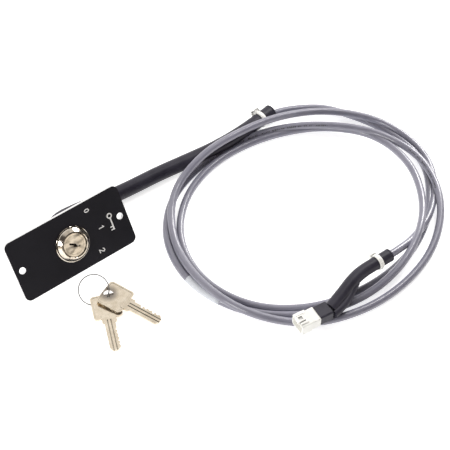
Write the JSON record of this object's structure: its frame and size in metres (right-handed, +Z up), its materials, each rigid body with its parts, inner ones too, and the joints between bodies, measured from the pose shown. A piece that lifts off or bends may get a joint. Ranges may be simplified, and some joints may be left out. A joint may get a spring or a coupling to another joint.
{
  "type": "selector key switch",
  "caption": "Keyed rotary selector switch on a rectangular face plate, with a long jacketed cable wound in a loose coil, a plug-in connector, and keys on a wire ring.",
  "frame": {"origin": "floor point under the centre of the box round the plate, switch and keys, cable left out", "axes": "+X along the plate's long side towards its legend end, +Y from the keys towards the back of the switch, +Z up; the plate leans back 60 degrees up from the floor"},
  "size_m": [0.3527, 0.228, 0.0456],
  "materials": {
    "plate_paint": "satin",
    "legend_ink": "matte",
    "polished_nickel": "polished",
    "key_nickel": "satin",
    "ring_wire": "polished",
    "zinc_steel": "satin",
    "contact_brass": "satin",
    "switch_plastic": "matte",
    "black_sleeve": "satin",
    "grey_jacket": "gloss",
    "white_nylon": "satin",
    "paper_label": "matte",
    "wire_jacket": "satin"
  },
  "bodies": {
    "switch": {"face_plate": "plate_paint", "legend_marks": "legend_ink", "dress_nut": "polished_nickel", "lock_barrel": "polished_nickel", "tooth_washer": "zinc_steel", "back_nut": "zinc_steel", "switch_housing": "switch_plastic", "rear_cover": "switch_plastic", "fixed_contacts": "contact_brass", "detent_spring": "zinc_steel", "housing_screws": "zinc_steel", "switch_wires": "wire_jacket", "sleeve_main": "black_sleeve", "zip_tie_1": "white_nylon", "cable_coil": "grey_jacket", "cable_label": "paper_label", "tail_sleeve": "black_sleeve", "tail_branch": "black_sleeve", "zip_tie_2": "white_nylon", "connector_boot": "black_sleeve", "connector_housing": "white_nylon", "connector_pins": "contact_brass", "tail_wires": "wire_jacket"},
    "plug": {"lock_plug": "polished_nickel", "shutter_pin": "zinc_steel", "plug_clip": "zinc_steel", "drive_tail": "zinc_steel", "tail_screw": "zinc_steel", "contact_rotor": "switch_plastic", "moving_contacts": "contact_brass", "wafer_springs": "zinc_steel"},
    "wafers": {"wafer_1": "contact_brass", "wafer_2": "contact_brass", "wafer_3": "contact_brass", "wafer_4": "contact_brass", "wafer_5": "contact_brass"},
    "shutter": {"dust_shutter": "polished_nickel"},
    "detent": {"detent_ball": "zinc_steel"},
    "ring": {"key_ring": "ring_wire"},
    "key_a": {"key_a": "key_nickel"},
    "key_b": {"key_b": "key_nickel"}
  },
  "joints": [
    {"name": "plug_turn", "type": "hinge", "parent": "switch", "child": "plug", "pos_m": [0, 0.03102, 0.02282], "axis": [0, -0.866, 0.5], "range_deg": [0, 60]},
    {"name": "wafer_slide", "type": "slide", "parent": "plug", "child": "wafers", "axis": [0.866, -0.25, -0.433], "range_m": [0, 0.0007], "stiffness_N_per_m": 400, "springref_m": -0.001, "deforming": ["wafer_springs"]},
    {"name": "shutter_swing", "type": "hinge", "parent": "plug", "child": "shutter", "pos_m": [-0.00072, 0.0281, 0.02305], "axis": [-0.866, 0.25, 0.433], "range_deg": [0, 70], "stiffness_Nm_per_rad": 0.0002, "springref_deg": -28.65},
    {"name": "detent_press", "type": "slide", "parent": "switch", "child": "detent", "axis": [0, -0.5, -0.866], "range_m": [0, 0.0005], "stiffness_N_per_m": 2000, "deforming": ["detent_spring"]},
    {"name": "ring_lift", "type": "slide", "parent": "switch", "child": "ring", "axis": [0, 0, 1], "range_m": [0, 0.1]},
    {"name": "key_a_swing", "type": "hinge", "parent": "ring", "child": "key_a", "pos_m": [0.00128, -0.01404, 0.00542], "axis": [0, 0, 1], "range_deg": [0, 60]},
    {"name": "key_b_swing", "type": "hinge", "parent": "ring", "child": "key_b", "pos_m": [-0.00338, -0.01555, 0.00258], "axis": [0, 0, 1], "range_deg": [-35, 0]}
  ]
}
